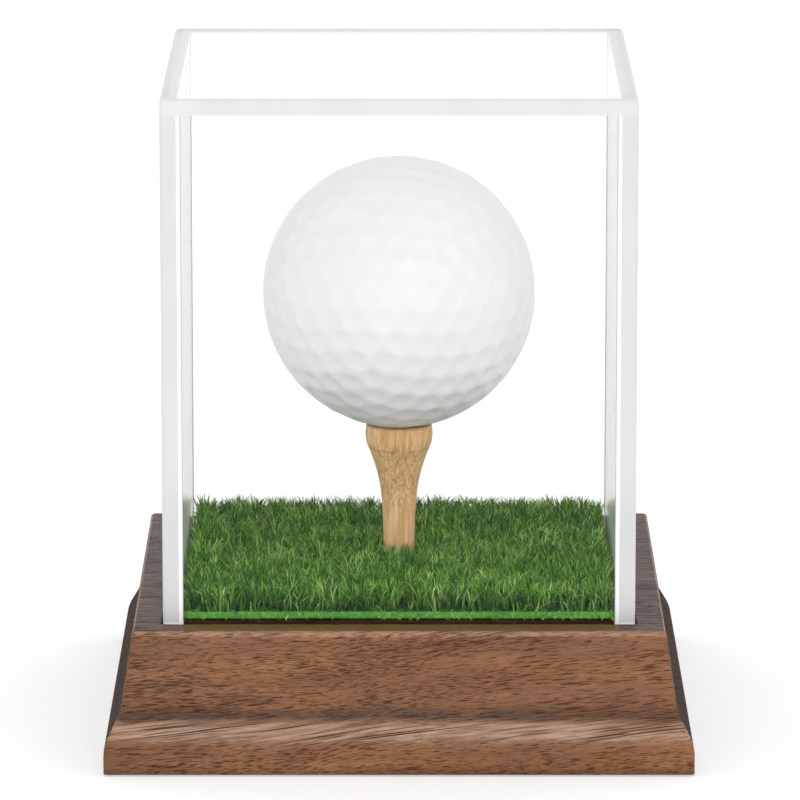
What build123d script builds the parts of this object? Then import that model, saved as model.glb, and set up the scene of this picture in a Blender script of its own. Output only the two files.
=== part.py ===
from build123d import *
import math
import os

# Golf ball display case: a moulded walnut base with a turf mat and a wooden
# tee that carries one golf ball, under a lift-off cover of five clear acrylic
# sheets that stands in a groove in the base.
#
# Frame: millimetres, +Z up, origin at the middle of the underside.
# -Y is the front, +X is the right-hand side.

# ---------------------------------------------------------------- dimensions
felt_proud = 0.3          # felt stands out of its pocket by this much
felt_thick = 1.0
felt_half = 41.8
pocket_clear = 0.2        # pocket wall to felt edge

base_half = 45.0          # foot of the base, half its width
base_h = 21.45            # height of the wooden block
foot_h = 2.7              # upright part of the foot
bull_r = 7.0              # convex part of the ogee
flare_deg = 28.6          # lean of the flare, from upright
flare_rise = 2.1          # straight stretch of the flare
cove_r = 6.0              # concave part of the ogee
face_deg = 8.5            # lean of the long upper face, from upright
top_r = 0.6               # round-over at the top edge
mitre_soft = 0.22         # how much is eased off the four corners

cover_w = 72.2            # cover, outside, both ways
sheet = 2.5               # acrylic sheet thickness
cover_top_z = 102.9       # top of the cover
groove_depth = 3.0
groove_clear = 0.3        # groove wall to sheet, each side
seat_gap = 0.02           # sheet's lower edge above the groove floor
cover_edge_r = 0.7        # polished outer edges of the cover

ball_r = 21.335           # regulation ball, 42.67 mm across
shell_t = 2.0             # ball's outer cover
core_gap = 0.03
ball_z = 66.7             # centre of the ball

tee_len = 38.0            # short wooden tee
tee_top_z = 45.8
tee_shaft_r = 2.45
tee_hole_r = 2.50
tee_cup_gap = 0.12        # ball to cup

glue_t = 0.25
glue_half = 31.4
mat_half = 32.6
mat_t = 1.0               # backing of the turf mat
pile_half = 32.4
pile_top_z = 27.4
mat_hole_r = 2.6

# ----------------------------------------------------------- derived levels
z_foot = felt_proud
z_top = z_foot + base_h
groove_z = z_top - groove_depth
wall_z = groove_z + seat_gap
ch = cover_w / 2
ci = ch - sheet
tee_tip_z = tee_top_z - tee_len
glue_z = z_top + glue_t
mat_z = glue_z + mat_t


def block(x0, x1, y0, y1, z0, z1):
    return Pos((x0 + x1) / 2, (y0 + y1) / 2, (z0 + z1) / 2) * Box(x1 - x0, y1 - y0, z1 - z0)


# ------------------------------------------------------- moulded base block
a = math.radians(flare_deg)
b = math.radians(face_deg)
p0 = (base_half, 0.0)
p1 = (base_half, foot_h)
p1m = (base_half - bull_r * (1 - math.cos(a / 2)), foot_h + bull_r * math.sin(a / 2))
p2 = (base_half - bull_r * (1 - math.cos(a)), foot_h + bull_r * math.sin(a))
p3 = (p2[0] - flare_rise * math.tan(a), p2[1] + flare_rise)
# concave arc, centre outside the wood
cc = (p3[0] + cove_r * math.cos(a), p3[1] + cove_r * math.sin(a))
m = (a + b) / 2
p3m = (cc[0] - cove_r * math.cos(m), cc[1] - cove_r * math.sin(m))
p4 = (cc[0] - cove_r * math.cos(b), cc[1] - cove_r * math.sin(b))
# long face up to the round-over
z5 = base_h - top_r * (1 - math.sin(b))
p5 = (p4[0] - (z5 - p4[1]) * math.tan(b), z5)
tc = (p5[0] - top_r * math.cos(b), p5[1] - top_r * math.sin(b))
tm = (math.pi / 2 + b) / 2
p5m = (tc[0] + top_r * math.cos(tm), tc[1] + top_r * math.sin(tm))
p6 = (tc[0], base_h)


def moulding_face(shift):
    """Half profile mirrored about the middle; shift moves the outline in."""
    def q(p):
        return (p[0] - shift, p[1])

    def n(p):
        return (-p[0] + shift, p[1])

    right = [
        Line(q(p0), q(p1)),
        ThreePointArc(q(p1), q(p1m), q(p2)),
        Line(q(p2), q(p3)),
        ThreePointArc(q(p3), q(p3m), q(p4)),
        Line(q(p4), q(p5)),
        ThreePointArc(q(p5), q(p5m), q(p6)),
    ]
    left = [
        Line(n(p0), n(p1)),
        ThreePointArc(n(p1), n(p1m), n(p2)),
        Line(n(p2), n(p3)),
        ThreePointArc(n(p3), n(p3m), n(p4)),
        Line(n(p4), n(p5)),
        ThreePointArc(n(p5), n(p5m), n(p6)),
    ]
    return make_face(right + left + [Line(n(p0), q(p0)), Line(n(p6), q(p6))])


across = extrude(Plane.XZ * moulding_face(0.0), amount=60, both=True)
base = across & (Rot(0, 0, 90) * across)
# ease the four mitred corners: a diagonal outline that follows the moulding,
# set in by mitre_soft, cut from prisms whose half width is half * sqrt(2)
root2 = math.sqrt(2.0)


def diagonal_face():
    def q(p, s):
        return (s * (p[0] * root2 - mitre_soft), p[1])

    # the scaled arcs are drawn through sampled points of the moulding
    pts = []
    for i in range(7):
        t = a * i / 6
        pts.append((base_half - bull_r * (1 - math.cos(t)), foot_h + bull_r * math.sin(t)))
    pts.append(p3)
    for i in range(1, 7):
        t = a + (b - a) * i / 6
        pts.append((cc[0] - cove_r * math.cos(t), cc[1] - cove_r * math.sin(t)))
    pts.append(p5)
    for i in range(1, 5):
        t = b + (math.pi / 2 - b) * i / 4
        pts.append((tc[0] + top_r * math.cos(t), tc[1] + top_r * math.sin(t)))
    outline = [q(p0, -1)] + [q(p0, 1)] + [q(p, 1) for p in pts] + [q(p, -1) for p in reversed(pts)]
    return make_face(Polyline(*outline, close=True))


diag = extrude(Plane.XZ * diagonal_face(), amount=80, both=True)
base = base & (Rot(0, 0, 45) * diag) & (Rot(0, 0, -45) * diag)
base = Pos(0, 0, z_foot) * base

# groove for the cover, hole for the tee, pocket for the felt
go = ch + groove_clear
gi = ci - groove_clear
groove = block(-go, go, -go, go, groove_z, z_top + 5) - block(-gi, gi, -gi, gi, groove_z - 1, z_top + 6)
hole_bottom = tee_tip_z - 0.4
tee_hole = Pos(0, 0, (hole_bottom + z_top + 5) / 2) * Cylinder(tee_hole_r, z_top + 5 - hole_bottom)
pk = felt_half + pocket_clear
pocket_top = z_foot + felt_thick - felt_proud
pocket = block(-pk, pk, -pk, pk, z_foot - 1, pocket_top)
walnut_base = base - groove - tee_hole - pocket

# felt sheet with eased corners
felt = block(-felt_half, felt_half, -felt_half, felt_half, 0, pocket_top)
base_felt = fillet(felt.edges().filter_by(Axis.Z), radius=1.5)


# ---------------------------------------------------------------- turf mat
def mat_layer(half, z0, z1, hole_r, corner):
    s = block(-half, half, -half, half, z0, z1)
    s = fillet(s.edges().filter_by(Axis.Z), radius=corner)
    return s - Pos(0, 0, (z0 + z1) / 2) * Cylinder(hole_r, z1 - z0 + 2)


turf_adhesive = mat_layer(glue_half, z_top, glue_z, mat_hole_r + 0.8, 0.5)
turf_backing = mat_layer(mat_half, glue_z, mat_z, mat_hole_r, 0.6)
turf_pile = mat_layer(pile_half, mat_z, pile_top_z, mat_hole_r + 0.1, 0.8)

# --------------------------------------------------------------------- tee
cup_r = ball_r + tee_cup_gap
rim_in = math.sqrt(cup_r ** 2 - (ball_z - tee_top_z) ** 2)
cup_z = ball_z - cup_r
cup_m_r = rim_in * 0.5
cup_m_z = ball_z - math.sqrt(cup_r ** 2 - cup_m_r ** 2)
rim_r = 5.29
tee_outline = [
    Line((0, tee_tip_z), (0.7, tee_tip_z)),
    Line((0.7, tee_tip_z), (tee_shaft_r, tee_tip_z + 7.0)),
    Line((tee_shaft_r, tee_tip_z + 7.0), (tee_shaft_r, 25.0)),
    Spline(
        (tee_shaft_r, 25.0),
        (2.51, 29.5),
        (2.67, 32.7),
        (2.92, 35.15),
        (3.27, 37.1),
        (3.79, 39.03),
        (4.50, 41.15),
        tangents=((0, 1), (0.36, 1)),
    ),
    ThreePointArc((4.50, 41.15), (4.87, 41.95), (5.17, 42.8)),
    ThreePointArc((5.17, 42.8), (rim_r, 44.1), (5.18, tee_top_z - 0.5)),
    ThreePointArc((5.18, tee_top_z - 0.5), (5.10, tee_top_z - 0.16), (4.92, tee_top_z)),
    Line((4.92, tee_top_z), (rim_in, tee_top_z)),
    ThreePointArc((rim_in, tee_top_z), (cup_m_r, cup_m_z), (0, cup_z)),
    Line((0, cup_z), (0, tee_tip_z)),
]
golf_tee = revolve(Plane.XZ * make_face(tee_outline), Axis.Z, 360)

# -------------------------------------------------------------------- ball
golf_ball_cover = Pos(0, 0, ball_z) * (Sphere(ball_r) - Sphere(ball_r - shell_t))
golf_ball_core = Pos(0, 0, ball_z) * Sphere(ball_r - shell_t - core_gap)

# ------------------------------------------------------------------- cover
env = block(-ch, ch, -ch, ch, wall_z, cover_top_z)
env = fillet(
    env.edges().filter_by(Axis.Z) + env.edges().group_by(Axis.Z)[-1],
    radius=cover_edge_r,
)
wall_top = cover_top_z - sheet
cover_top = block(-ch, ch, -ch, ch, wall_top, cover_top_z) & env
cover_left = block(-ch, -ci, -ch, ch, wall_z, wall_top) & env
cover_right = block(ci, ch, -ch, ch, wall_z, wall_top) & env
cover_front = block(-ci, ci, -ch, -ci, wall_z, wall_top)
cover_back = block(-ci, ci, ci, ch, wall_z, wall_top)

# ------------------------------------------------------------------- output
nodes = {
    "walnut_base": walnut_base,
    "base_felt": base_felt,
    "turf_adhesive": turf_adhesive,
    "turf_backing": turf_backing,
    "turf_pile": turf_pile,
    "golf_tee": golf_tee,
    "golf_ball_cover": golf_ball_cover,
    "golf_ball_core": golf_ball_core,
    "cover_top": cover_top,
    "cover_front": cover_front,
    "cover_back": cover_back,
    "cover_left": cover_left,
    "cover_right": cover_right,
}
os.makedirs("parts", exist_ok=True)
for name, shape in nodes.items():
    solids = shape.solids()
    out = solids[0] if len(solids) == 1 else Compound(children=list(solids))
    export_step(out, f"parts/{name}.step")
    print(name, len(solids), round(out.volume, 2), [round(v, 3) for v in out.bounding_box().size])
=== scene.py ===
import math

import bpy
import numpy as np
from mathutils import Matrix, Vector


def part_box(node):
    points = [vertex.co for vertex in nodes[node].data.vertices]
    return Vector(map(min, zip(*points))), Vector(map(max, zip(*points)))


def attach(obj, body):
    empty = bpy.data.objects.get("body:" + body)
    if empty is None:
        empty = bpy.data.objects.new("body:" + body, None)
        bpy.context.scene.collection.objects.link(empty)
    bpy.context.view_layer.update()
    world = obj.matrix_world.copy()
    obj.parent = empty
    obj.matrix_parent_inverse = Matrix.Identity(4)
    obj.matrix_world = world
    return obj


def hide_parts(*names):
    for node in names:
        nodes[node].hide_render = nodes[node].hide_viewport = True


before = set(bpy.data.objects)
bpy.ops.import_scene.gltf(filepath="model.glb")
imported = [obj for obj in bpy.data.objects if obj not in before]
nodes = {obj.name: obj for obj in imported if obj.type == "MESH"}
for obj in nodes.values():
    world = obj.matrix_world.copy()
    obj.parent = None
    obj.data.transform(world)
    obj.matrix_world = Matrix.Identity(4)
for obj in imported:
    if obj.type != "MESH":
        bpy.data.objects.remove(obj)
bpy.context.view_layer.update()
scene = bpy.context.scene
MM = 0.001
rng = np.random.default_rng(20417)


# ------------------------------------------------------------------ helpers
def collection_link(ob):
    scene.collection.objects.link(ob)
    return ob


def mesh_object(name, verts, loops, loop_total, smooth=True, slots=()):
    """A mesh from numpy arrays: verts (n,3) in metres, loops a flat index array, loop_total per face."""
    me = bpy.data.meshes.new(name)
    me.vertices.add(len(verts))
    me.vertices.foreach_set("co", np.asarray(verts, np.float32).ravel())
    me.loops.add(len(loops))
    me.loops.foreach_set("vertex_index", np.asarray(loops, np.int32))
    me.polygons.add(len(loop_total))
    starts = np.concatenate([[0], np.cumsum(loop_total)[:-1]]).astype(np.int32)
    me.polygons.foreach_set("loop_start", starts)
    me.polygons.foreach_set("loop_total", np.asarray(loop_total, np.int32))
    me.polygons.foreach_set("use_smooth", np.full(len(loop_total), smooth))
    me.update(calc_edges=True)
    me.validate()
    for m in slots:
        me.materials.append(m)
    return collection_link(bpy.data.objects.new(name, me))


class Nodes:
    """Short hand for building a node tree."""

    def __init__(self, mat):
        self.nt = mat.node_tree
        self.nt.nodes.clear()

    def new(self, kind, **values):
        n = self.nt.nodes.new(kind)
        for k, v in values.items():
            setattr(n, k, v)
        return n

    def link(self, a, b):
        self.nt.links.new(a, b)

    def set(self, socket, value):
        if isinstance(value, bpy.types.NodeSocket):
            self.link(value, socket)
        else:
            socket.default_value = value

    def math(self, op, a, b=None, c=None, clamp=False):
        n = self.new("ShaderNodeMath", operation=op, use_clamp=clamp)
        self.set(n.inputs[0], a)
        if b is not None:
            self.set(n.inputs[1], b)
        if c is not None:
            self.set(n.inputs[2], c)
        return n.outputs[0]

    def mix(self, fac, a, b, mode="MIX"):
        n = self.new("ShaderNodeMix", data_type="RGBA", blend_type=mode)
        n.clamp_factor = True
        self.set(n.inputs["Factor"], fac)
        self.set(n.inputs[6], a)
        self.set(n.inputs[7], b)
        return n.outputs[2]

    def ramp(self, fac, stops, mode="LINEAR"):
        n = self.new("ShaderNodeValToRGB")
        n.color_ramp.interpolation = mode
        e = n.color_ramp.elements
        while len(e) < len(stops):
            e.new(0.5)
        for i, (p, c) in enumerate(stops):
            e[i].position = p
            e[i].color = tuple(c) + (1.0,) if len(c) == 3 else c
        self.set(n.inputs["Fac"], fac)
        return n.outputs["Color"]

    def remap(self, v, a, b, c=0.0, d=1.0, kind="LINEAR"):
        n = self.new("ShaderNodeMapRange", interpolation_type=kind)
        n.clamp = True
        self.set(n.inputs["Value"], v)
        n.inputs["From Min"].default_value = a
        n.inputs["From Max"].default_value = b
        n.inputs["To Min"].default_value = c
        n.inputs["To Max"].default_value = d
        return n.outputs["Result"]

    def grey(self, value):
        n = self.new("ShaderNodeCombineColor")
        for i in range(3):
            self.link(value, n.inputs[i])
        return n.outputs[0]

    def coords(self):
        return self.new("ShaderNodeTexCoord").outputs["Object"]

    def mapping(self, vector, scale=(1, 1, 1), rot=(0, 0, 0), loc=(0, 0, 0)):
        n = self.new("ShaderNodeMapping")
        self.set(n.inputs["Vector"], vector)
        n.inputs["Scale"].default_value = scale
        n.inputs["Rotation"].default_value = [math.radians(a) for a in rot]
        n.inputs["Location"].default_value = loc
        return n.outputs["Vector"]

    def noise(self, vector, scale=1.0, detail=2.0, rough=0.5, distortion=0.0, lac=2.0):
        n = self.new("ShaderNodeTexNoise")
        self.set(n.inputs["Vector"], vector)
        n.inputs["Scale"].default_value = scale
        n.inputs["Detail"].default_value = detail
        n.inputs["Roughness"].default_value = rough
        n.inputs["Lacunarity"].default_value = lac
        n.inputs["Distortion"].default_value = distortion
        return n

    def bump(self, height, strength=0.3, distance=0.0001, normal=None):
        n = self.new("ShaderNodeBump")
        n.inputs["Strength"].default_value = strength
        n.inputs["Distance"].default_value = distance
        self.link(height, n.inputs["Height"])
        if normal is not None:
            self.link(normal, n.inputs["Normal"])
        return n.outputs["Normal"]

    def out(self, shader, volume=None):
        o = self.new("ShaderNodeOutputMaterial")
        self.link(shader, o.inputs["Surface"])
        if volume is not None:
            self.link(volume, o.inputs["Volume"])


def material(name):
    m = bpy.data.materials.new(name)
    m.use_nodes = True
    return m


def use(node, mat):
    ob = nodes[node]
    ob.data.materials.clear()
    ob.data.materials.append(mat)


# ---------------------------------------------------------------- materials
def walnut():
    m = material("walnut")
    g = Nodes(m)
    co = g.coords()
    tex = g.new("ShaderNodeTexCoord")
    mm = g.mapping(co, scale=(1000, 1000, 1000))  # millimetres
    pos = g.new("ShaderNodeSeparateXYZ")
    g.link(mm, pos.inputs[0])
    nrm = g.new("ShaderNodeSeparateXYZ")
    g.link(tex.outputs["Normal"], nrm.inputs[0])
    # the grain runs along X, dives into the block and climbs a little
    tilt = g.mapping(mm, rot=(0, 4.6, -6.0))
    wander = g.noise(g.mapping(tilt, scale=(0.020, 0.035, 0.050)), 1.0, 1.0, 0.5)
    wc = g.new("ShaderNodeVectorMath", operation="SUBTRACT")
    g.link(wander.outputs["Color"], wc.inputs[0])
    wc.inputs[1].default_value = (0.5, 0.5, 0.5)
    wv = g.new("ShaderNodeVectorMath", operation="MULTIPLY")
    g.link(wc.outputs[0], wv.inputs[0])
    wv.inputs[1].default_value = (0.0, 2.0, 5.0)
    add = g.new("ShaderNodeVectorMath", operation="ADD")
    g.link(tilt, add.inputs[0])
    g.link(wv.outputs[0], add.inputs[1])
    grain = add.outputs[0]
    # broad figure, fibres
    fig = g.noise(g.mapping(grain, scale=(0.016, 0.16, 0.20)), 1.0, 2.0, 0.55, 0.3)
    fibre = g.noise(g.mapping(grain, scale=(0.07, 1.7, 1.9)), 1.0, 3.0, 0.6)
    fine = g.noise(g.mapping(grain, scale=(0.22, 7.0, 7.4)), 1.0, 2.0, 0.6)
    base = g.ramp(
        fig.outputs["Fac"],
        [
            (0.32, (0.182, 0.073, 0.028)),
            (0.45, (0.210, 0.087, 0.034)),
            (0.56, (0.236, 0.101, 0.041)),
            (0.70, (0.264, 0.118, 0.051)),
        ],
    )
    base = g.mix(1.0, base, g.grey(g.remap(fibre.outputs["Fac"], 0.30, 0.70, 0.80, 1.20)), "MULTIPLY")
    base = g.mix(1.0, base, g.grey(g.remap(fine.outputs["Fac"], 0.3, 0.7, 0.84, 1.16)), "MULTIPLY")
    # soft bands of shimmer across the grain, and redder patches
    shimmer = g.noise(g.mapping(mm, scale=(0.17, 0.05, 0.035), rot=(0, 12, 0)), 1.0, 1.0, 0.5)
    base = g.mix(1.0, base, g.grey(g.remap(shimmer.outputs["Fac"], 0.30, 0.70, 0.92, 1.08)), "MULTIPLY")
    red = g.noise(g.mapping(grain, scale=(0.06, 0.22, 0.25), loc=(5, 2, 6)), 1.0, 1.0, 0.5)
    base = g.mix(g.remap(red.outputs["Fac"], 0.50, 0.68, 0.0, 0.34, "SMOOTHSTEP"), base, (0.225, 0.078, 0.025, 1))
    # painted shade: the left end of the block is made darker
    shade = g.remap(pos.outputs["X"], -44.0, -22.0, 0.87, 1.0, "SMOOTHSTEP")
    base = g.mix(1.0, base, g.grey(shade), "MULTIPLY")
    # the moulding: painted light and shade by height: painted shade darkens the cove, the bottom of the foot and a
    # band under the top edge; painted light makes the flare and the rounded top edge paler
    zf = g.math("MULTIPLY", pos.outputs["Z"], 1 / 24)
    painted_light_by_height = g.ramp(
        zf,
        [(z / 24, (v, v, v)) for z, v in (
            (0.3, 0.66), (1.3, 0.92), (2.1, 1.12), (3.2, 1.02), (4.2, 1.00), (5.2, 1.12), (7.4, 1.12), (8.1, 0.84),
            (8.9, 0.60), (9.5, 0.72), (10.3, 0.94), (11.4, 1.04), (13.6, 1.00), (16.2, 1.10), (18.8, 0.90),
            (19.9, 0.84), (20.6, 0.97), (21.1, 1.12), (21.6, 1.20),
        )],
    )
    base = g.mix(1.0, base, painted_light_by_height, "MULTIPLY")
    flare = g.math("MULTIPLY", g.remap(pos.outputs["Z"], 4.8, 6.2, 0, 1, "SMOOTHSTEP"),
                   g.remap(pos.outputs["Z"], 7.3, 8.9, 1, 0, "SMOOTHSTEP"))
    # painted sheen: pale pinkish streaks on the flare, where the gloss catches the light from above
    painted_flare_sheen = g.remap(fibre.outputs["Fac"], 0.36, 0.64, 0.22, 1.0)
    base = g.mix(g.math("MULTIPLY", flare, painted_flare_sheen), base, (0.455, 0.305, 0.220, 1))
    # painted shade: patchy dark colour in the cove of the moulding
    cove = g.math("MULTIPLY", g.remap(pos.outputs["Z"], 8.0, 8.8, 0, 1, "SMOOTHSTEP"),
                  g.remap(pos.outputs["Z"], 9.4, 11.0, 1, 0, "SMOOTHSTEP"))
    cove_shade_noise = g.noise(g.mapping(mm, scale=(0.13, 0.5, 0.75), loc=(6, 1, 3)), 1.0, 2.0, 0.6)
    painted_cove_shade = g.remap(cove_shade_noise.outputs["Fac"], 0.42, 0.60, 0.62, 0.0)
    base = g.mix(g.math("MULTIPLY", cove, painted_cove_shade), base, (0.066, 0.036, 0.028, 1))
    # painted highlight: the rounded top edge is made pale where it catches the light
    painted_edge_highlight = g.remap(pos.outputs["Z"], 20.65, 21.2, 0.0, 1.0, "SMOOTHSTEP")
    edge_highlight_noise = g.noise(g.mapping(mm, scale=(0.5, 1.0, 2.2), loc=(1, 1, 1)), 1.0, 2.0, 0.6)
    base = g.mix(g.math("MULTIPLY", painted_edge_highlight, g.remap(edge_highlight_noise.outputs["Fac"], 0.35, 0.62, 0.10, 0.62)), base, (0.45, 0.285, 0.20, 1))
    # open pores: short dark dashes on the faces, long ones on the flare
    pore_a = g.noise(g.mapping(grain, scale=(0.15, 4.8, 6.8)), 1.0, 0.4, 0.4)
    pore_b = g.noise(g.mapping(grain, scale=(0.24, 7.0, 9.6), loc=(7, 3, 1)), 1.0, 0.4, 0.4)
    # on the flare the pores are cut lengthways: long thin lines that climb to the right
    climb = g.mapping(mm, rot=(0, 7.0, -3.0))
    slow = g.new("ShaderNodeVectorMath", operation="MULTIPLY_ADD")
    g.link(wc.outputs[0], slow.inputs[0])
    slow.inputs[1].default_value = (0.0, 1.2, 2.4)
    g.link(climb, slow.inputs[2])
    pore_c = g.noise(g.mapping(slow.outputs[0], scale=(0.045, 3.0, 5.4), loc=(1, 8, 5)), 1.0, 0.8, 0.5)
    field = g.noise(g.mapping(grain, scale=(0.05, 0.20, 0.24), loc=(3, 9, 4)), 1.0, 2.0, 0.6)
    dens = g.remap(field.outputs["Fac"], 0.35, 0.65, -0.075, 0.035)
    pa = g.remap(g.math("ADD", pore_a.outputs["Fac"], dens), 0.590, 0.645, 0.0, 1.0, "SMOOTHSTEP")
    pb = g.remap(g.math("ADD", pore_b.outputs["Fac"], dens), 0.60, 0.67, 0.0, 0.75, "SMOOTHSTEP")
    pc = g.remap(pore_c.outputs["Fac"], 0.555, 0.625, 0.0, 1.0, "SMOOTHSTEP")
    pc = g.math("MULTIPLY", pc, flare)
    short = g.math("MULTIPLY", g.math("MAXIMUM", pa, pb), g.remap(flare, 0.0, 1.0, 1.0, 0.35))
    pores = g.math("MAXIMUM", short, pc)
    deep = g.math("ADD", 0.78, g.math("MULTIPLY", flare, 0.10))
    base = g.mix(g.math("MULTIPLY", pores, deep), base, (0.050, 0.019, 0.010, 1.0))
    # the left and right faces are cut across the board and soak up finish; their dark colour is also painted shade, as
    # they face away from the light
    end = g.remap(g.math("ABSOLUTE", nrm.outputs["X"]), 0.76, 0.80, 0.0, 1.0)
    # a faint painted highlight: the rounded corners between the faces are made lighter
    corner_highlight = g.remap(g.math("MULTIPLY", g.math("ABSOLUTE", nrm.outputs["X"]), g.math("ABSOLUTE", nrm.outputs["Y"])), 0.25, 0.40, 0.0, 0.02)
    base = g.mix(corner_highlight, base, (0.30, 0.18, 0.12, 1))
    end_noise = g.noise(g.mapping(mm, scale=(0.3, 0.9, 2.6)), 1.0, 3.0, 0.65)
    end_grain_and_shade_col = g.ramp(
        end_noise.outputs["Fac"],
        [(0.3, (0.020, 0.012, 0.009)), (0.5, (0.048, 0.031, 0.026)), (0.7, (0.115, 0.080, 0.066))],
    )
    base = g.mix(end, base, end_grain_and_shade_col)
    # the top is a darker, greyer cut with fine streaks; part of its darkness is painted shade
    up = g.remap(nrm.outputs["Z"], 0.80, 0.97, 0.0, 1.0)
    top_noise = g.noise(g.mapping(mm, scale=(0.16, 1.7, 1.7), loc=(2, 5, 8)), 1.0, 3.0, 0.7)
    top_cut_and_shade_col = g.ramp(
        top_noise.outputs["Fac"],
        [(0.39, (0.026, 0.014, 0.010)), (0.5, (0.076, 0.043, 0.031)), (0.61, (0.168, 0.101, 0.074))],
    )
    # painted reflected light: an olive strip along the front of the top, for green light bounced from the turf
    painted_grass_bounce = g.math("MULTIPLY", g.remap(pos.outputs["Y"], -36.45, -36.35, 1, 0),
                         g.remap(g.math("ABSOLUTE", pos.outputs["X"]), 31.5, 34.0, 1, 0))
    top_cut_and_shade_col = g.mix(g.math("MULTIPLY", painted_grass_bounce, 0.75), top_cut_and_shade_col, (0.200, 0.112, 0.030, 1))
    base = g.mix(up, base, top_cut_and_shade_col)
    # inside the groove and under the cover the wood is made dark: painted shade for the shadow of the cover and the
    # groove
    reach = g.math("MAXIMUM", g.math("ABSOLUTE", pos.outputs["X"]), g.math("ABSOLUTE", pos.outputs["Y"]))
    groove_shade_mask = g.math("MULTIPLY", g.remap(reach, 36.32, 36.44, 1, 0), g.remap(pos.outputs["Z"], 5.0, 6.0, 0, 1))
    groove_shade_noise = g.noise(g.mapping(mm, scale=(0.2, 1.5, 1.5)), 1.0, 2.0, 0.5)
    painted_shade_col = g.ramp(groove_shade_noise.outputs["Fac"], [(0.3, (0.034, 0.018, 0.008)), (0.7, (0.085, 0.046, 0.022))])
    base = g.mix(groove_shade_mask, base, painted_shade_col)
    p = g.new("ShaderNodeBsdfPrincipled")
    g.link(base, p.inputs["Base Color"])
    rough = g.remap(pores, 0.0, 1.0, 0.40, 0.65)
    g.link(g.math("MAXIMUM", rough, g.math("MULTIPLY", end, 0.8)), p.inputs["Roughness"])
    dull = g.math("MAXIMUM", g.math("MAXIMUM", end, g.math("MULTIPLY", up, 0.72)), groove_shade_mask)
    g.link(g.remap(g.math("MAXIMUM", dull, g.math("MULTIPLY", pores, 0.8)), 0.0, 1.0, 0.32, 0.04), p.inputs["Specular IOR Level"])
    h = g.math("MULTIPLY", pores, -1.0)
    h2 = g.math("MULTIPLY_ADD", fine.outputs["Fac"], 0.25, h)
    g.link(g.bump(h2, 0.5, 0.00008), p.inputs["Normal"])
    g.out(p.outputs[0])
    return m


def acrylic():
    m = material("clear_acrylic")
    g = Nodes(m)
    p = g.new("ShaderNodeBsdfPrincipled")
    p.inputs["IOR"].default_value = 1.49
    p.inputs["Specular Tint"].default_value = (0.15, 0.15, 0.15, 1)
    # polished acrylic seen edge-on is a soft light grey haze
    lw = g.new("ShaderNodeLayerWeight")
    lw.inputs["Blend"].default_value = 0.5
    haze = g.remap(lw.outputs["Facing"], 0.895, 0.955, 0.0, 1.0, "SMOOTHSTEP")
    g.link(g.remap(haze, 0.0, 1.0, 1.0, 0.0), p.inputs["Transmission Weight"])
    g.link(g.remap(haze, 0.0, 1.0, 0.012, 0.18), p.inputs["Roughness"])
    g.link(g.ramp(haze, [(0.0, (1, 1, 1)), (1.0, (0.66, 0.66, 0.67))]), p.inputs["Base Color"])
    path = g.new("ShaderNodeLightPath")
    clear = g.new("ShaderNodeBsdfTransparent")
    clear.inputs["Color"].default_value = (0.97, 0.97, 0.97, 1)
    mixs = g.new("ShaderNodeMixShader")
    g.link(path.outputs["Is Shadow Ray"], mixs.inputs[0])
    g.link(p.outputs[0], mixs.inputs[1])
    g.link(clear.outputs[0], mixs.inputs[2])
    g.out(mixs.outputs[0])
    return m


def satin_edge():
    """The sawn and sanded edges of the sheets."""
    m = material("acrylic_cut_edge")
    g = Nodes(m)
    mm = g.mapping(g.coords(), scale=(1000, 1000, 1000))
    cloud = g.noise(g.mapping(mm, scale=(0.12, 0.12, 0.05)), 1.0, 2.0, 0.5)
    saw = g.noise(g.mapping(mm, scale=(3.5, 3.5, 3.5)), 1.0, 2.0, 0.6)
    tone = g.math("ADD", g.math("MULTIPLY", cloud.outputs["Fac"], 0.8), g.math("MULTIPLY", saw.outputs["Fac"], 0.2))
    col = g.ramp(tone, [(0.35, (0.695, 0.695, 0.700)), (0.65, (0.735, 0.735, 0.740))])
    z = g.new("ShaderNodeSeparateXYZ")
    g.link(mm, z.inputs[0])
    # painted shade: the cut edges are made darker towards the base
    low = g.remap(z.outputs["Z"], 36.0, 48.0, 0.905, 0.95, "SMOOTHSTEP")
    low = g.math("MAXIMUM", low, g.remap(z.outputs["Z"], 100.2, 100.4, 0.0, 1.0))
    col = g.mix(1.0, col, g.grey(low), "MULTIPLY")
    # light gathers where the sheet goes into the wood
    foot = g.remap(g.math("ABSOLUTE", g.math("SUBTRACT", z.outputs["Z"], 21.86)), 0.09, 0.15, 1.0, 0.0)
    col = g.mix(foot, col, (0.98, 0.98, 0.98, 1))
    p = g.new("ShaderNodeBsdfPrincipled")
    g.link(col, p.inputs["Base Color"])
    g.link(g.remap(saw.outputs["Fac"], 0.3, 0.7, 0.42, 0.58), p.inputs["Roughness"])
    p.inputs["IOR"].default_value = 1.49
    p.inputs["Specular IOR Level"].default_value = 0.3
    g.link(g.bump(saw.outputs["Fac"], 0.15, 0.00003), p.inputs["Normal"])
    g.out(p.outputs[0])
    return m


def cement_seam_highlight():
    """The bright line where two sheets are cemented together: a painted highlight, near-white, for the light the joint
    catches.
    """
    m = material("acrylic_cement_highlight")
    g = Nodes(m)
    mm = g.mapping(g.coords(), scale=(1000, 1000, 1000))
    n = g.noise(g.mapping(mm, scale=(0.5, 0.5, 0.15)), 1.0, 2.0, 0.5)
    col = g.ramp(n.outputs["Fac"], [(0.3, (0.93, 0.93, 0.93)), (0.7, (0.98, 0.98, 0.98))])
    p = g.new("ShaderNodeBsdfPrincipled")
    g.link(col, p.inputs["Base Color"])
    g.link(g.remap(n.outputs["Fac"], 0.3, 0.7, 0.25, 0.35), p.inputs["Roughness"])
    p.inputs["Specular IOR Level"].default_value = 0.5
    g.out(p.outputs[0])
    return m


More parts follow.
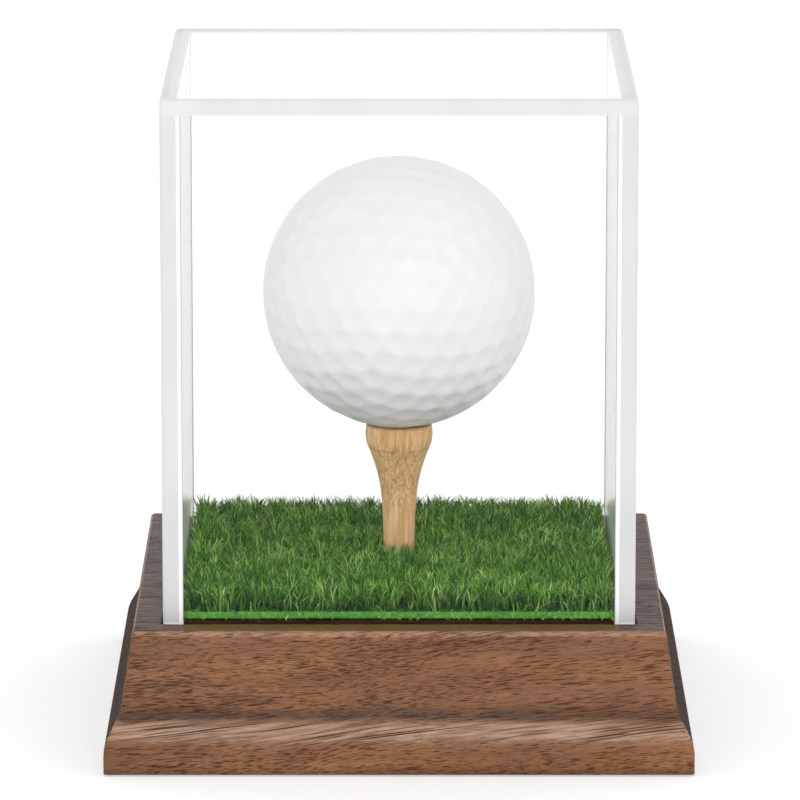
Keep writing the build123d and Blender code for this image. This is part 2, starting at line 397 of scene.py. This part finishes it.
def weld():
    """Cemented faces: the two sheets are one body of acrylic there, with nothing to see."""
    m = material("acrylic_joined")
    g = Nodes(m)
    clear = g.new("ShaderNodeBsdfTransparent")
    clear.inputs["Color"].default_value = (1, 1, 1, 1)
    g.out(clear.outputs[0])
    return m


def tee_wood():
    m = material("tee_wood")
    g = Nodes(m)
    mm = g.mapping(g.coords(), scale=(1000, 1000, 1000))
    tone = g.noise(g.mapping(mm, scale=(0.25, 0.25, 0.06)), 1.0, 2.0, 0.5)
    lines = g.noise(g.mapping(mm, scale=(2.4, 2.4, 0.10)), 1.0, 2.0, 0.55)
    col = g.ramp(
        g.math("ADD", g.math("MULTIPLY", lines.outputs["Fac"], 0.65), g.math("MULTIPLY", tone.outputs["Fac"], 0.35)),
        [(0.35, (0.62, 0.335, 0.140)), (0.5, (0.79, 0.490, 0.230)), (0.65, (0.90, 0.645, 0.355))],
    )
    # turning lines round the rim, flecks where the flare cuts through the grain
    fleck = g.noise(g.mapping(mm, scale=(3.0, 3.0, 1.5), loc=(4, 1, 7)), 1.0, 1.0, 0.5)
    fleck2 = g.noise(g.mapping(mm, scale=(5.5, 5.5, 2.6), loc=(1, 6, 2)), 1.0, 1.0, 0.5)
    f = g.math("MAXIMUM", g.remap(fleck.outputs["Fac"], 0.54, 0.64, 0.0, 1.0, "SMOOTHSTEP"),
               g.remap(fleck2.outputs["Fac"], 0.56, 0.66, 0.0, 1.0, "SMOOTHSTEP"))
    z = g.new("ShaderNodeSeparateXYZ")
    g.link(mm, z.inputs[0])
    zone = g.math("MULTIPLY", g.remap(z.outputs["Z"], 30.5, 34.0), g.remap(z.outputs["Z"], 41.9, 42.3, 1.0, 0.10))
    zone = g.math("ADD", zone, 0.10)
    col = g.mix(g.math("MULTIPLY", g.math("MULTIPLY", f, zone), 0.50), col, (0.36, 0.19, 0.060, 1))
    streak = g.noise(g.mapping(mm, scale=(1.3, 1.3, 0.05), loc=(9, 4, 3)), 1.0, 1.0, 0.5)
    low = g.math("MULTIPLY", g.remap(streak.outputs["Fac"], 0.50, 0.66, 0.0, 0.5, "SMOOTHSTEP"),
                 g.remap(z.outputs["Z"], 31.0, 36.0, 1.0, 0.15))
    col = g.mix(low, col, (0.48, 0.22, 0.085, 1))
    ring = g.noise(g.mapping(mm, scale=(3.6, 3.6, 0.15), loc=(2, 2, 9)), 1.0, 1.0, 0.5)
    rim = g.math("MULTIPLY", g.remap(ring.outputs["Fac"], 0.52, 0.66, 0.0, 0.55, "SMOOTHSTEP"),
                 g.remap(z.outputs["Z"], 41.9, 42.3))
    col = g.mix(rim, col, (0.50, 0.25, 0.105, 1))
    # painted shade: a dark line in the crease under the rim
    painted_groove_shade = g.remap(g.math("ABSOLUTE", g.math("SUBTRACT", z.outputs["Z"], 41.95)), 0.0, 0.28, 0.32, 0.0, "SMOOTHSTEP")
    col = g.mix(painted_groove_shade, col, (0.33, 0.17, 0.055, 1))
    # painted shadow: the top of the cup, under the ball, is made dark
    painted_ball_shadow = g.remap(z.outputs["Z"], 45.35, 45.7, 0.0, 0.6, "SMOOTHSTEP")
    col = g.mix(painted_ball_shadow, col, (0.20, 0.10, 0.04, 1))
    # the shank is made paler and pinker than the head: painted light that lifts the shade cast on it by the ball and
    # the turf
    shank_painted_light = g.grey(g.remap(z.outputs["Z"], 31.0, 37.0, 1.14, 1.0))
    col = g.mix(1.0, col, shank_painted_light, "MULTIPLY")
    col = g.mix(g.remap(z.outputs["Z"], 29.0, 36.0, 0.16, 0.0), col, (0.98, 0.62, 0.40, 1))
    p = g.new("ShaderNodeBsdfPrincipled")
    g.link(col, p.inputs["Base Color"])
    p.inputs["Roughness"].default_value = 0.55
    p.inputs["Specular IOR Level"].default_value = 0.3
    g.link(g.bump(lines.outputs["Fac"], 0.25, 0.0001), p.inputs["Normal"])
    g.out(p.outputs[0])
    return m


def ball_white():
    m = material("ball_white")
    g = Nodes(m)
    mm = g.mapping(g.coords(), scale=(1000, 1000, 1000))
    n = g.noise(g.mapping(mm, scale=(0.06, 0.06, 0.06)), 1.0, 2.0, 0.5)
    col = g.ramp(n.outputs["Fac"], [(0.35, (0.888, 0.880, 0.902)), (0.65, (0.918, 0.911, 0.933))])
    p = g.new("ShaderNodeBsdfPrincipled")
    g.link(col, p.inputs["Base Color"])
    grain = g.noise(g.mapping(mm, scale=(1.6, 1.6, 1.6)), 1.0, 2.0, 0.5)
    g.link(g.remap(grain.outputs["Fac"], 0.3, 0.7, 0.36, 0.46), p.inputs["Roughness"])
    p.inputs["Specular IOR Level"].default_value = 0.4
    p.inputs["Coat Weight"].default_value = 0.25
    p.inputs["Coat Roughness"].default_value = 0.25
    g.link(g.bump(grain.outputs["Fac"], 0.08, 0.00005), p.inputs["Normal"])
    g.out(p.outputs[0])
    return m


def plain_noise(name, a, b, scale, rough, bump=0.2, dist=0.0001, spec=0.3, sheen=0.0):
    m = material(name)
    g = Nodes(m)
    mm = g.mapping(g.coords(), scale=(1000, 1000, 1000))
    n = g.noise(mm, scale, 4.0, 0.65)
    n2 = g.noise(mm, scale * 0.12, 2.0, 0.5)
    f = g.math("ADD", g.math("MULTIPLY", n.outputs["Fac"], 0.7), g.math("MULTIPLY", n2.outputs["Fac"], 0.3))
    col = g.ramp(f, [(0.35, a), (0.65, b)])
    p = g.new("ShaderNodeBsdfPrincipled")
    g.link(col, p.inputs["Base Color"])
    p.inputs["Roughness"].default_value = rough
    p.inputs["Specular IOR Level"].default_value = spec
    if sheen:
        p.inputs["Sheen Weight"].default_value = sheen
        p.inputs["Sheen Roughness"].default_value = 0.5
    g.link(g.bump(n.outputs["Fac"], bump, dist), p.inputs["Normal"])
    g.out(p.outputs[0])
    return m


def grass():
    m = material("turf_blades")
    g = Nodes(m)
    mm = g.mapping(g.coords(), scale=(1000, 1000, 1000))
    z = g.new("ShaderNodeSeparateXYZ")
    g.link(mm, z.inputs[0])
    h = g.remap(z.outputs["Z"], 23.5, 26.4)
    att = g.new("ShaderNodeAttribute", attribute_name="tone")
    lit = g.new("ShaderNodeAttribute", attribute_name="lit")
    h = g.math("MAXIMUM", h, lit.outputs["Fac"])
    patch = g.noise(g.mapping(mm, scale=(0.09, 0.09, 0.09)), 1.0, 2.0, 0.5)
    tone = g.math("ADD", att.outputs["Fac"], g.remap(patch.outputs["Fac"], 0.3, 0.7, -0.10, 0.10), clamp=True)
    green = g.ramp(
        tone,
        [
            (0.0, (0.016, 0.085, 0.010)),
            (0.35, (0.080, 0.245, 0.024)),
            (0.62, (0.200, 0.470, 0.050)),
            (0.88, (0.420, 0.720, 0.130)),
            (1.0, (0.700, 0.820, 0.360)),
        ],
    )
    # painted light: blades brighter towards the front of the mat, darker towards the back
    painted_front_light = g.remap(z.outputs["Y"], -31.5, 31.5, 1.24, 0.88)
    green = g.mix(1.0, green, g.grey(painted_front_light), "MULTIPLY")
    # painted shade: the blades darken towards their roots, deep in the pile
    painted_shade_col = g.mix(0.88, green, (0.003, 0.036, 0.012, 1))
    col = g.mix(h, painted_shade_col, green)
    p = g.new("ShaderNodeBsdfPrincipled")
    g.link(col, p.inputs["Base Color"])
    g.link(g.remap(patch.outputs["Fac"], 0.3, 0.7, 0.42, 0.58), p.inputs["Roughness"])
    p.inputs["Specular IOR Level"].default_value = 0.25
    g.out(p.outputs[0])
    return m


MAT_WALNUT = walnut()
MAT_ACRYLIC = acrylic()
MAT_EDGE = satin_edge()
MAT_SEAM = cement_seam_highlight()
MAT_WELD = weld()
MAT_TEE = tee_wood()
MAT_BALL = ball_white()
MAT_CORE = plain_noise("ball_core", (0.03, 0.05, 0.10), (0.05, 0.08, 0.15), 1.2, 0.6)
MAT_FELT = plain_noise("felt", (0.006, 0.012, 0.008), (0.02, 0.035, 0.024), 3.0, 0.95, 0.8, 0.0002, 0.1, 0.3)
MAT_GLUE = plain_noise("adhesive", (0.04, 0.035, 0.03), (0.07, 0.06, 0.05), 1.0, 0.6)
MAT_BACKING = plain_noise("turf_backing", (0.045, 0.28, 0.032), (0.210, 0.64, 0.100), 2.2, 0.6, 0.7, 0.0003)
MAT_GRASS = grass()

use("walnut_base", MAT_WALNUT)
use("base_felt", MAT_FELT)
use("turf_adhesive", MAT_GLUE)
use("turf_backing", MAT_BACKING)
use("golf_tee", MAT_TEE)
use("golf_ball_core", MAT_CORE)


# --------------------------------------------------------------- golf ball
def geodesic(n):
    """Vertices and triangles of a unit icosahedron split into n segments a side."""
    t = (1 + 5 ** 0.5) / 2
    v = np.array(
        [(-1, t, 0), (1, t, 0), (-1, -t, 0), (1, -t, 0), (0, -1, t), (0, 1, t),
         (0, -1, -t), (0, 1, -t), (t, 0, -1), (t, 0, 1), (-t, 0, -1), (-t, 0, 1)], float)
    v /= np.linalg.norm(v[0])
    f = [(0, 11, 5), (0, 5, 1), (0, 1, 7), (0, 7, 10), (0, 10, 11), (1, 5, 9), (5, 11, 4),
         (11, 10, 2), (10, 7, 6), (7, 1, 8), (3, 9, 4), (3, 4, 2), (3, 2, 6), (3, 6, 8),
         (3, 8, 9), (4, 9, 5), (2, 4, 11), (6, 2, 10), (8, 6, 7), (9, 8, 1)]
    verts, tris, off = [], [], 0
    for a, b, c in f:
        idx = {}
        for i in range(n + 1):
            for j in range(n + 1 - i):
                k = n - i - j
                p = (v[a] * i + v[b] * j + v[c] * k) / n
                idx[(i, j)] = off + len(idx)
                verts.append(p)
        for i in range(n):
            for j in range(n - i):
                tris.append((idx[(i, j)], idx[(i + 1, j)], idx[(i, j + 1)]))
                if i + j < n - 1:
                    tris.append((idx[(i + 1, j)], idx[(i + 1, j + 1)], idx[(i, j + 1)]))
        off = len(verts)
    verts = np.array(verts)
    verts /= np.linalg.norm(verts, axis=1)[:, None]
    key = np.round(verts * 1e5).astype(np.int64)
    _, first, inverse = np.unique(key, axis=0, return_index=True, return_inverse=True)
    return verts[first], inverse.ravel()[np.array(tris)]


def golf_ball(centre, radius):
    cores, _ = geodesic(6)  # 362 dimple centres
    r = np.random.default_rng(7)
    cores = cores + r.normal(0, 0.012, cores.shape)
    cores /= np.linalg.norm(cores, axis=1)[:, None]
    for _ in range(60):  # spread them evenly
        d = cores[:, None, :] - cores[None, :, :]
        q = (d ** 2).sum(2) + np.eye(len(cores))
        push = (d / q[..., None] ** 2.5).sum(1)
        push -= (push * cores).sum(1)[:, None] * cores
        step = push / np.abs(push).max() * 0.006
        cores += step
        cores /= np.linalg.norm(cores, axis=1)[:, None]
    dots = cores @ cores.T - 2 * np.eye(len(cores))
    near = np.arccos(np.clip(np.sort(dots, 1)[:, -6:], -1, 1)) * radius
    rad = near.mean(1) * 0.49
    rad = np.minimum(rad, near.min(1) * 0.50)
    rad *= r.uniform(0.95, 1.02, len(rad))
    verts, tris = geodesic(92)
    spin = Matrix.Rotation(0.62, 3, "X") @ Matrix.Rotation(0.35, 3, "Z") @ Matrix.Rotation(0.21, 3, "Y")
    cores = cores @ np.array(spin).T
    depth = np.zeros(len(verts))
    for i in range(0, len(verts), 8000):
        dd = verts[i:i + 8000] @ cores.T
        k = dd.argmax(1)
        ang = np.arccos(np.clip(dd[np.arange(len(k)), k], -1, 1)) * radius
        u = ang / rad[k]
        # a shallow dish that runs out softly at its lip
        soft = np.clip(1 - u ** 2, 0, 1) ** 1.45
        depth[i:i + 8000] = 0.245 * MM * soft
    pos = verts * (radius - depth)[:, None] + np.array(centre)
    return mesh_object("golf_ball", pos, tris.ravel(), np.full(len(tris), 3), True, [MAT_BALL])


lo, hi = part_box("golf_ball_cover")
ball = golf_ball(((lo + hi) / 2)[:], (hi.z - lo.z) / 2)
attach(ball, "ball")
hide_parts("golf_ball_cover")


# --------------------------------------------------------------- turf pile
def ribbons(x, y, z0, h, lean_x, lean_y, curl, width, yaw, limit):
    """One tapering, bending ribbon of seven points per blade."""
    n = len(x)
    lean = np.hypot(lean_x, lean_y)
    verts = np.zeros((n, 7, 3))
    cx, cy = np.cos(yaw), np.sin(yaw)
    k = 0
    for lev, tp in zip((0.0, 0.40, 0.76, 1.0), (1.0, 0.95, 0.66, 0.0)):
        part = lev ** curl
        px, py = x + lean_x * part, y + lean_y * part
        pz = z0 + h * lev - (lean * part) ** 2 / (h * 2.4)
        if tp > 0:
            for s in (-0.5, 0.5):
                verts[:, k] = np.stack([px + s * cx * width * tp, py + s * cy * width * tp, pz], 1)
                k += 1
        else:
            verts[:, k] = np.stack([px, py, pz], 1)
    verts[..., :2] = np.clip(verts[..., :2], -limit, limit)
    return verts


def turf(half, edge, z0, tee_r, limit):
    # blades stand in tufts and fan out of them
    pitch = 1.36 * MM
    m = int(2 * half / pitch)
    gx, gy = np.meshgrid(np.arange(m), np.arange(m))
    step = 2 * half / m
    tx = (gx.ravel() + 0.5) * step - half + rng.normal(0, 0.34, m * m) * MM
    ty = (gy.ravel() + 0.5) * step - half + rng.normal(0, 0.34, m * m) * MM
    tall = rng.normal(0, 0.34, m * m) * MM
    tuft_tone = rng.normal(0, 0.13, m * m)
    sway = rng.normal(0, 0.50, (m * m, 2)) * MM
    per = 16
    own = np.repeat(np.arange(m * m), per)
    n = len(own)
    r = np.abs(rng.normal(0, 0.40, n)) * MM
    a = rng.uniform(0, 2 * np.pi, n)
    x = np.clip(tx[own] + r * np.cos(a), -half, half)
    y = np.clip(ty[own] + r * np.sin(a), -half, half)
    fan = rng.normal(1.2, 0.8, n)
    lx = fan * r * np.cos(a) + sway[own, 0] + rng.normal(0, 1.30, n) * MM
    ly = fan * r * np.sin(a) + sway[own, 1] + rng.normal(0, 1.15, n) * MM
    h = np.clip(rng.normal(3.85, 0.42, n) * MM + tall[own], 2.2 * MM, 4.40 * MM)
    w = rng.uniform(0.15, 0.29, n) * MM
    tone = np.clip(rng.normal(0.42, 0.29, n) + tuft_tone[own], 0, 0.97)
    lit = np.where(rng.random(n) < 0.06, rng.uniform(0.3, 1.0, n), 0.0)
    curl = rng.uniform(1.4, 3.4, n)
    # a few long pale blades lie across the rest
    wild = rng.random(n) < 0.03
    lx[wild] *= 1.9
    ly[wild] *= 1.9
    tone[wild] = rng.uniform(0.93, 1.0, wild.sum())
    w[wild] *= 0.85
    h[wild] = np.minimum(h[wild] + 0.35 * MM, 4.40 * MM)
    lit[wild] = 0.8
    keep = np.hypot(x, y) > tee_r
    inward = (x * lx + y * ly) / np.maximum(np.hypot(x, y), 1e-6)
    near = (np.hypot(x, y) < tee_r + 1.6 * MM) & (inward < 0)
    lx[near] *= 0.2
    ly[near] *= 0.2
    yaw = rng.uniform(0, np.pi, n)
    parts = [ribbons(x[keep], y[keep], z0, h[keep], lx[keep], ly[keep], curl[keep], w[keep], yaw[keep], limit)]
    tones = [tone[keep]]
    lits = [lit[keep]]
    # the fringe round the edge of the mat hangs over its side
    count = 520
    for side in range(4):
        t = rng.uniform(-half, half, count)
        root = half - rng.uniform(0.0, 0.35, count) * MM
        out = rng.uniform(0.35, 1.0, count) * MM
        along = rng.normal(0, 0.55, count) * MM
        fx, fy = [(t, -root), (t, root), (-root, t), (root, t)][side]
        ox, oy = [(along, -out), (along, out), (-out, along), (out, along)][side]
        fh = rng.uniform(0.5, 3.0, count) * MM
        parts.append(ribbons(fx, fy, z0 - 0.15 * MM, fh, ox, oy, rng.uniform(0.7, 1.3, count),
                             rng.uniform(0.16, 0.30, count) * MM, rng.uniform(0, np.pi, count), limit))
        tones.append(np.clip(rng.normal(0.60, 0.26, count), 0, 1))
        lits.append(np.where(rng.random(count) < 0.45, rng.uniform(0.2, 1.0, count), 0.0))
    # fibres that stand out of the cut edge of the backing
    count = 620
    for side in range(4):
        t = rng.uniform(-edge, edge, count)
        root = np.full(count, edge - 0.05 * MM)
        out = rng.uniform(0.10, 0.50, count) * MM
        along = rng.normal(0, 0.45, count) * MM
        fx, fy = [(t, -root), (t, root), (-root, t), (root, t)][side]
        ox, oy = [(along, -out), (along, out), (-out, along), (out, along)][side]
        fz = z0 - rng.uniform(0.05, 1.0, count) * MM
        parts.append(ribbons(fx, fy, fz, rng.uniform(0.15, 0.50, count) * MM, ox, oy, rng.uniform(0.8, 1.3, count),
                             rng.uniform(0.12, 0.24, count) * MM, rng.uniform(0, np.pi, count), limit))
        tones.append(np.clip(rng.normal(0.66, 0.20, count), 0, 1))
        lits.append(rng.uniform(0.55, 1.0, count))
    verts = np.concatenate(parts)
    tone = np.concatenate(tones)
    lit = np.concatenate(lits)
    n = len(verts)
    base = (np.arange(n) * 7)[:, None]
    quads = np.array([[0, 1, 3, 2], [2, 3, 5, 4]])
    q = (base[:, :, None] + quads[None]).reshape(n, 8)
    t = base + np.array([[4, 5, 6]])
    loops = np.concatenate([q, t], 1).ravel()
    totals = np.tile([4, 4, 3], n)
    ob = mesh_object("turf_blades", verts.reshape(-1, 3), loops, totals, True, [MAT_GRASS])
    att = ob.data.attributes.new("tone", "FLOAT", "POINT")
    att.data.foreach_set("value", np.repeat(tone, 7).astype(np.float32))
    att = ob.data.attributes.new("lit", "FLOAT", "POINT")
    att.data.foreach_set("value", np.repeat(lit, 7).astype(np.float32))
    return ob


plo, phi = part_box("turf_pile")
wall_lo, wall_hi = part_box("cover_right")
_, mat_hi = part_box("turf_backing")
pile = turf(phi.x - 0.0001, mat_hi.x, plo.z, 2.75 * MM, wall_lo.x - 0.00015)
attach(pile, "base")
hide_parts("turf_pile")


# ------------------------------------------------------------ acrylic cover
CLEAR, EDGE, SEAM, WELD = range(4)


class Sheet:
    """One sheet of the cover, built face by face with exact normals."""

    def __init__(self):
        self.v, self.loops, self.total, self.nrm, self.slot = [], [], [], [], []

    def face(self, pts, nrm, slot):
        start = len(self.v)
        self.v.extend(tuple(p) for p in pts)
        self.loops.extend(range(start, start + len(pts)))
        self.total.append(len(pts))
        nrm = [nrm] * len(pts) if not hasattr(nrm[0], "__len__") else nrm
        self.nrm.extend(tuple(n) for n in nrm)
        self.slot.append(slot)

    def done(self, name, mirror=False):
        v = np.array(self.v)
        nrm = np.array(self.nrm)
        loops = np.array(self.loops)
        if mirror:  # reflect in the YZ plane and turn every face round
            v[:, 0] *= -1
            nrm[:, 0] *= -1
            start = np.concatenate([[0], np.cumsum(self.total)[:-1]])
            order = np.concatenate([np.arange(s, s + t)[::-1] for s, t in zip(start, self.total)])
            loops, nrm = loops[order], nrm[order]
        key = np.round(v * 1e7).astype(np.int64)
        _, first, inverse = np.unique(key, axis=0, return_index=True, return_inverse=True)
        ob = mesh_object(name, v[first], inverse.ravel()[loops], self.total, True,
                         [MAT_ACRYLIC, MAT_EDGE, MAT_SEAM, MAT_WELD])
        ob.data.polygons.foreach_set("material_index", self.slot)
        if len(ob.data.loops) == len(nrm):
            ob.data.normals_split_custom_set([tuple(n) for n in nrm])
        return ob


def arc(cx, cy, r, a0, seg):
    a = [math.radians(a0 + 90 * i / seg) for i in range(seg + 1)]
    return [(cx + r * math.cos(t), cy + r * math.sin(t)) for t in a], [(math.cos(t), math.sin(t)) for t in a]


def side_sheet(half, t, r, z0, z1, name, mirror, seg=6):
    s = Sheet()
    inner = half - t
    c = half - r
    f_arc, f_n = arc(c, -c, r, -90, seg)
    b_arc, b_n = arc(c, c, r, 0, seg)
    runs = [([(inner, -half), (c, -half)], [(0, -1)] * 2, EDGE), (f_arc, f_n, EDGE),
            ([(half, -c), (half, c)], [(1, 0)] * 2, CLEAR), (b_arc, b_n, EDGE),
            ([(c, half), (inner, half)], [(0, 1)] * 2, EDGE),
            ([(inner, half), (inner, inner)], [(-1, 0)] * 2, WELD),
            ([(inner, inner), (inner, -inner)], [(-1, 0)] * 2, CLEAR),
            ([(inner, -inner), (inner, -half)], [(-1, 0)] * 2, WELD)]
    outline = []
    for pts, nrm, slot in runs:
        for (p, n), (q, m) in zip(zip(pts[:-1], nrm[:-1]), zip(pts[1:], nrm[1:])):
            s.face([(*p, z0), (*q, z0), (*q, z1), (*p, z1)], [(*n, 0), (*m, 0), (*m, 0), (*n, 0)], slot)
            outline.append(p)
    s.face([(*p, z1) for p in outline], (0, 0, 1), WELD)
    s.face([(*p, z0) for p in outline[::-1]], (0, 0, -1), EDGE)
    return s.done(name, mirror)


def cross_sheet(half, t, strips, z0, z1, name, sign):
    """Front (sign -1) or back (sign +1) sheet, between the side sheets.

    strips: (width, slot) of the lines seen down each end of its faces."""
    s = Sheet()
    inner = half - t
    xs, slots = [-inner], []
    for wide, slot in strips:
        xs.append(xs[-1] + wide)
        slots.append(slot)
    xs = xs + [-x for x in xs[::-1]]
    slots = slots + [CLEAR] + slots[::-1]
    for y, out in ((-half, -1), (-inner, 1)):
        for a, b, slot in zip(xs[:-1], xs[1:], slots):
            quad = [(a, y, z0), (b, y, z0), (b, y, z1), (a, y, z1)]
            s.face(quad if out < 0 else quad[::-1], (0, out, 0), slot)
    for x, out in ((-inner, -1), (inner, 1)):
        quad = [(x, -half, z0), (x, -half, z1), (x, -inner, z1), (x, -inner, z0)]
        s.face(quad if out < 0 else quad[::-1], (out, 0, 0), WELD)
    for z, out, slot in ((z0, -1, EDGE), (z1, 1, WELD)):
        lower = [(x, -half, z) for x in xs]
        upper = [(x, -inner, z) for x in xs[::-1]]
        loop = lower + upper
        s.face(loop if out > 0 else loop[::-1], (0, 0, out), slot)
    if sign > 0:  # turn half round about Z
        s.v = [(-x, -y, z) for x, y, z in s.v]
        s.nrm = [(-x, -y, z) for x, y, z in s.nrm]
    return s.done(name)


def top_sheet(half, t, r, z0, z1, name, seg=6):
    s = Sheet()
    inner = half - t

    def loop_at(inset, z):
        rr = max(r - inset, 1e-6)
        c = half - r
        pts, nrm = [], []
        for cx, cy, a0 in ((c, -c, -90), (c, c, 0), (-c, c, 90), (-c, -c, 180)):
            p, n = arc(cx, cy, rr, a0, seg)
            pts += [(*q, z) for q in p]
            nrm += n
        return pts, nrm

    rings = [(loop_at(0, z0), 0.0), (loop_at(0, z1 - r), 0.0)]
    for k in range(1, seg + 1):
        phi = math.pi / 2 * k / seg
        rings.append((loop_at(r * (1 - math.cos(phi)), z1 - r + r * math.sin(phi)), phi))
    for ((pa, na), fa), ((pb, nb), fb) in zip(rings[:-1], rings[1:]):
        m = len(pa)
        for i in range(m):
            j = (i + 1) % m
            if math.dist(pa[i], pa[j]) < 1e-7:
                continue
            nn = [(na[i][0] * math.cos(fa), na[i][1] * math.cos(fa), math.sin(fa)),
                  (na[j][0] * math.cos(fa), na[j][1] * math.cos(fa), math.sin(fa)),
                  (nb[j][0] * math.cos(fb), nb[j][1] * math.cos(fb), math.sin(fb)),
                  (nb[i][0] * math.cos(fb), nb[i][1] * math.cos(fb), math.sin(fb))]
            s.face([pa[i], pa[j], pb[j], pb[i]], nn, EDGE)
    # polished top, inside the rounding
    c = half - r
    s.face([(c, -c, z1), (c, c, z1), (-c, c, z1), (-c, -c, z1)], (0, 0, 1), CLEAR)
    # underside: cemented to the four walls, polished between them
    fr, _ = arc(c, -c, r, -90, seg)
    br, _ = arc(c, c, r, 0, seg)
    right = [(inner, -half)] + fr + br + [(inner, half), (inner, inner), (inner, -inner)]
    s.face([(*p, z0) for p in right[::-1]], (0, 0, -1), SEAM)
    s.face([(-x, y, z0) for x, y in right], (0, 0, -1), SEAM)
    for y0, y1, slot in ((-half, -inner, SEAM), (inner, half, SEAM)):
        s.face([(-inner, y1, z0), (inner, y1, z0), (inner, y0, z0), (-inner, y0, z0)], (0, 0, -1), slot)
    s.face([(-inner, inner, z0), (inner, inner, z0), (inner, -inner, z0), (-inner, -inner, z0)], (0, 0, -1), CLEAR)
    return s.done(name)


_, top_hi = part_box("cover_top")
wlo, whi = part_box("cover_front")
half_c, sheet_t, z_low, z_mid = top_hi.x, top_hi.z - whi.z, wlo.z, whi.z
round_r = 0.0007
# at each end of the front sheet's faces: a strip of the painted seam highlight, then a thin cut-edge line
front_lines = ((0.00050, SEAM), (0.00012, EDGE))
back_lines = ((0.00010, EDGE),)
panels = {
    "cover_top": top_sheet(half_c, sheet_t, round_r, z_mid, top_hi.z, "acrylic_top"),
    "cover_front": cross_sheet(half_c, sheet_t, front_lines, z_low, z_mid, "acrylic_front", -1),
    "cover_back": cross_sheet(half_c, sheet_t, back_lines, z_low, z_mid, "acrylic_back", 1),
    "cover_right": side_sheet(half_c, sheet_t, round_r, z_low, z_mid, "acrylic_right", False),
    "cover_left": side_sheet(half_c, sheet_t, round_r, z_low, z_mid, "acrylic_left", True),
}
for node, ob in panels.items():
    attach(ob, "cover")
    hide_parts(node)


# ------------------------------------------------------------------- stage
floor_mat = material("floor")
g = Nodes(floor_mat)
p = g.new("ShaderNodeBsdfPrincipled")
p.inputs["Base Color"].default_value = (0.62, 0.62, 0.62, 1)
p.inputs["Roughness"].default_value = 0.9
p.inputs["Specular IOR Level"].default_value = 0.0
p.inputs["Emission Color"].default_value = (1, 1, 1, 1)
p.inputs["Emission Strength"].default_value = 0.47
g.out(p.outputs[0])
bpy.ops.mesh.primitive_plane_add(size=8.0, location=(0, 1.0, 0))
floor = bpy.context.object
floor.name = "floor"
floor.data.materials.append(floor_mat)

world = bpy.data.worlds.new("studio")
scene.world = world
world.use_nodes = True
g = Nodes(world)
dirn = g.new("ShaderNodeTexCoord").outputs["Generated"]
sep = g.new("ShaderNodeSeparateXYZ")
g.link(dirn, sep.inputs[0])
# bright behind, quieter overhead, to the sides and in front
side = g.remap(g.math("ABSOLUTE", sep.outputs["X"]), 0.40, 0.95, 1.0, 0.92, "SMOOTHSTEP")
along = g.remap(sep.outputs["Y"], -0.9, 0.5, 1.00, 1.11, "SMOOTHSTEP")
high = g.remap(sep.outputs["Z"], 0.25, 0.80, 1.0, 0.90, "SMOOTHSTEP")
strength = g.math("MULTIPLY", g.math("MULTIPLY", side, along), high)
bg = g.new("ShaderNodeBackground")
bg.inputs["Color"].default_value = (1, 1, 1, 1)
g.link(strength, bg.inputs["Strength"])
wo = g.new("ShaderNodeOutputWorld")
g.link(bg.outputs[0], wo.inputs[0])


def softbox(name, loc, target, size, power):
    li = bpy.data.lights.new(name, "AREA")
    li.shape = "RECTANGLE"
    li.size, li.size_y = size
    li.energy = power
    ob = collection_link(bpy.data.objects.new(name, li))
    ob.location = loc
    d = Vector(target) - Vector(loc)
    ob.rotation_euler = d.to_track_quat("-Z", "Y").to_euler()
    return ob


softbox("key", (0.32, -0.95, 0.36), (0, 0, 0.06), (0.7, 0.7), 1.4)
softbox("fill", (-0.30, -0.90, 0.09), (0, 0, 0.05), (0.5, 0.12), 0.45)

# ------------------------------------------------------------------ camera
cam_data = bpy.data.cameras.new("camera")
cam_data.sensor_fit = "AUTO"
cam_data.sensor_width = 36.0
cam_data.lens = 292.013
cam_data.shift_x = 0.0012
cam_data.clip_start = 0.01
cam_data.clip_end = 50.0
cam = collection_link(bpy.data.objects.new("camera", cam_data))
cam.location = (0.0, -1.000, 0.25831)
cam.rotation_euler = (math.radians(90 - 11.812), 0.0, 0.0)
scene.camera = cam
scene.view_settings.view_transform = "Standard"
scene.view_settings.look = "None"
scene.cycles.max_bounces = 32
scene.cycles.transmission_bounces = 32
scene.cycles.glossy_bounces = 16
scene.cycles.diffuse_bounces = 4
scene.cycles.transparent_max_bounces = 32
scene.cycles.caustics_reflective = True
scene.cycles.caustics_refractive = True
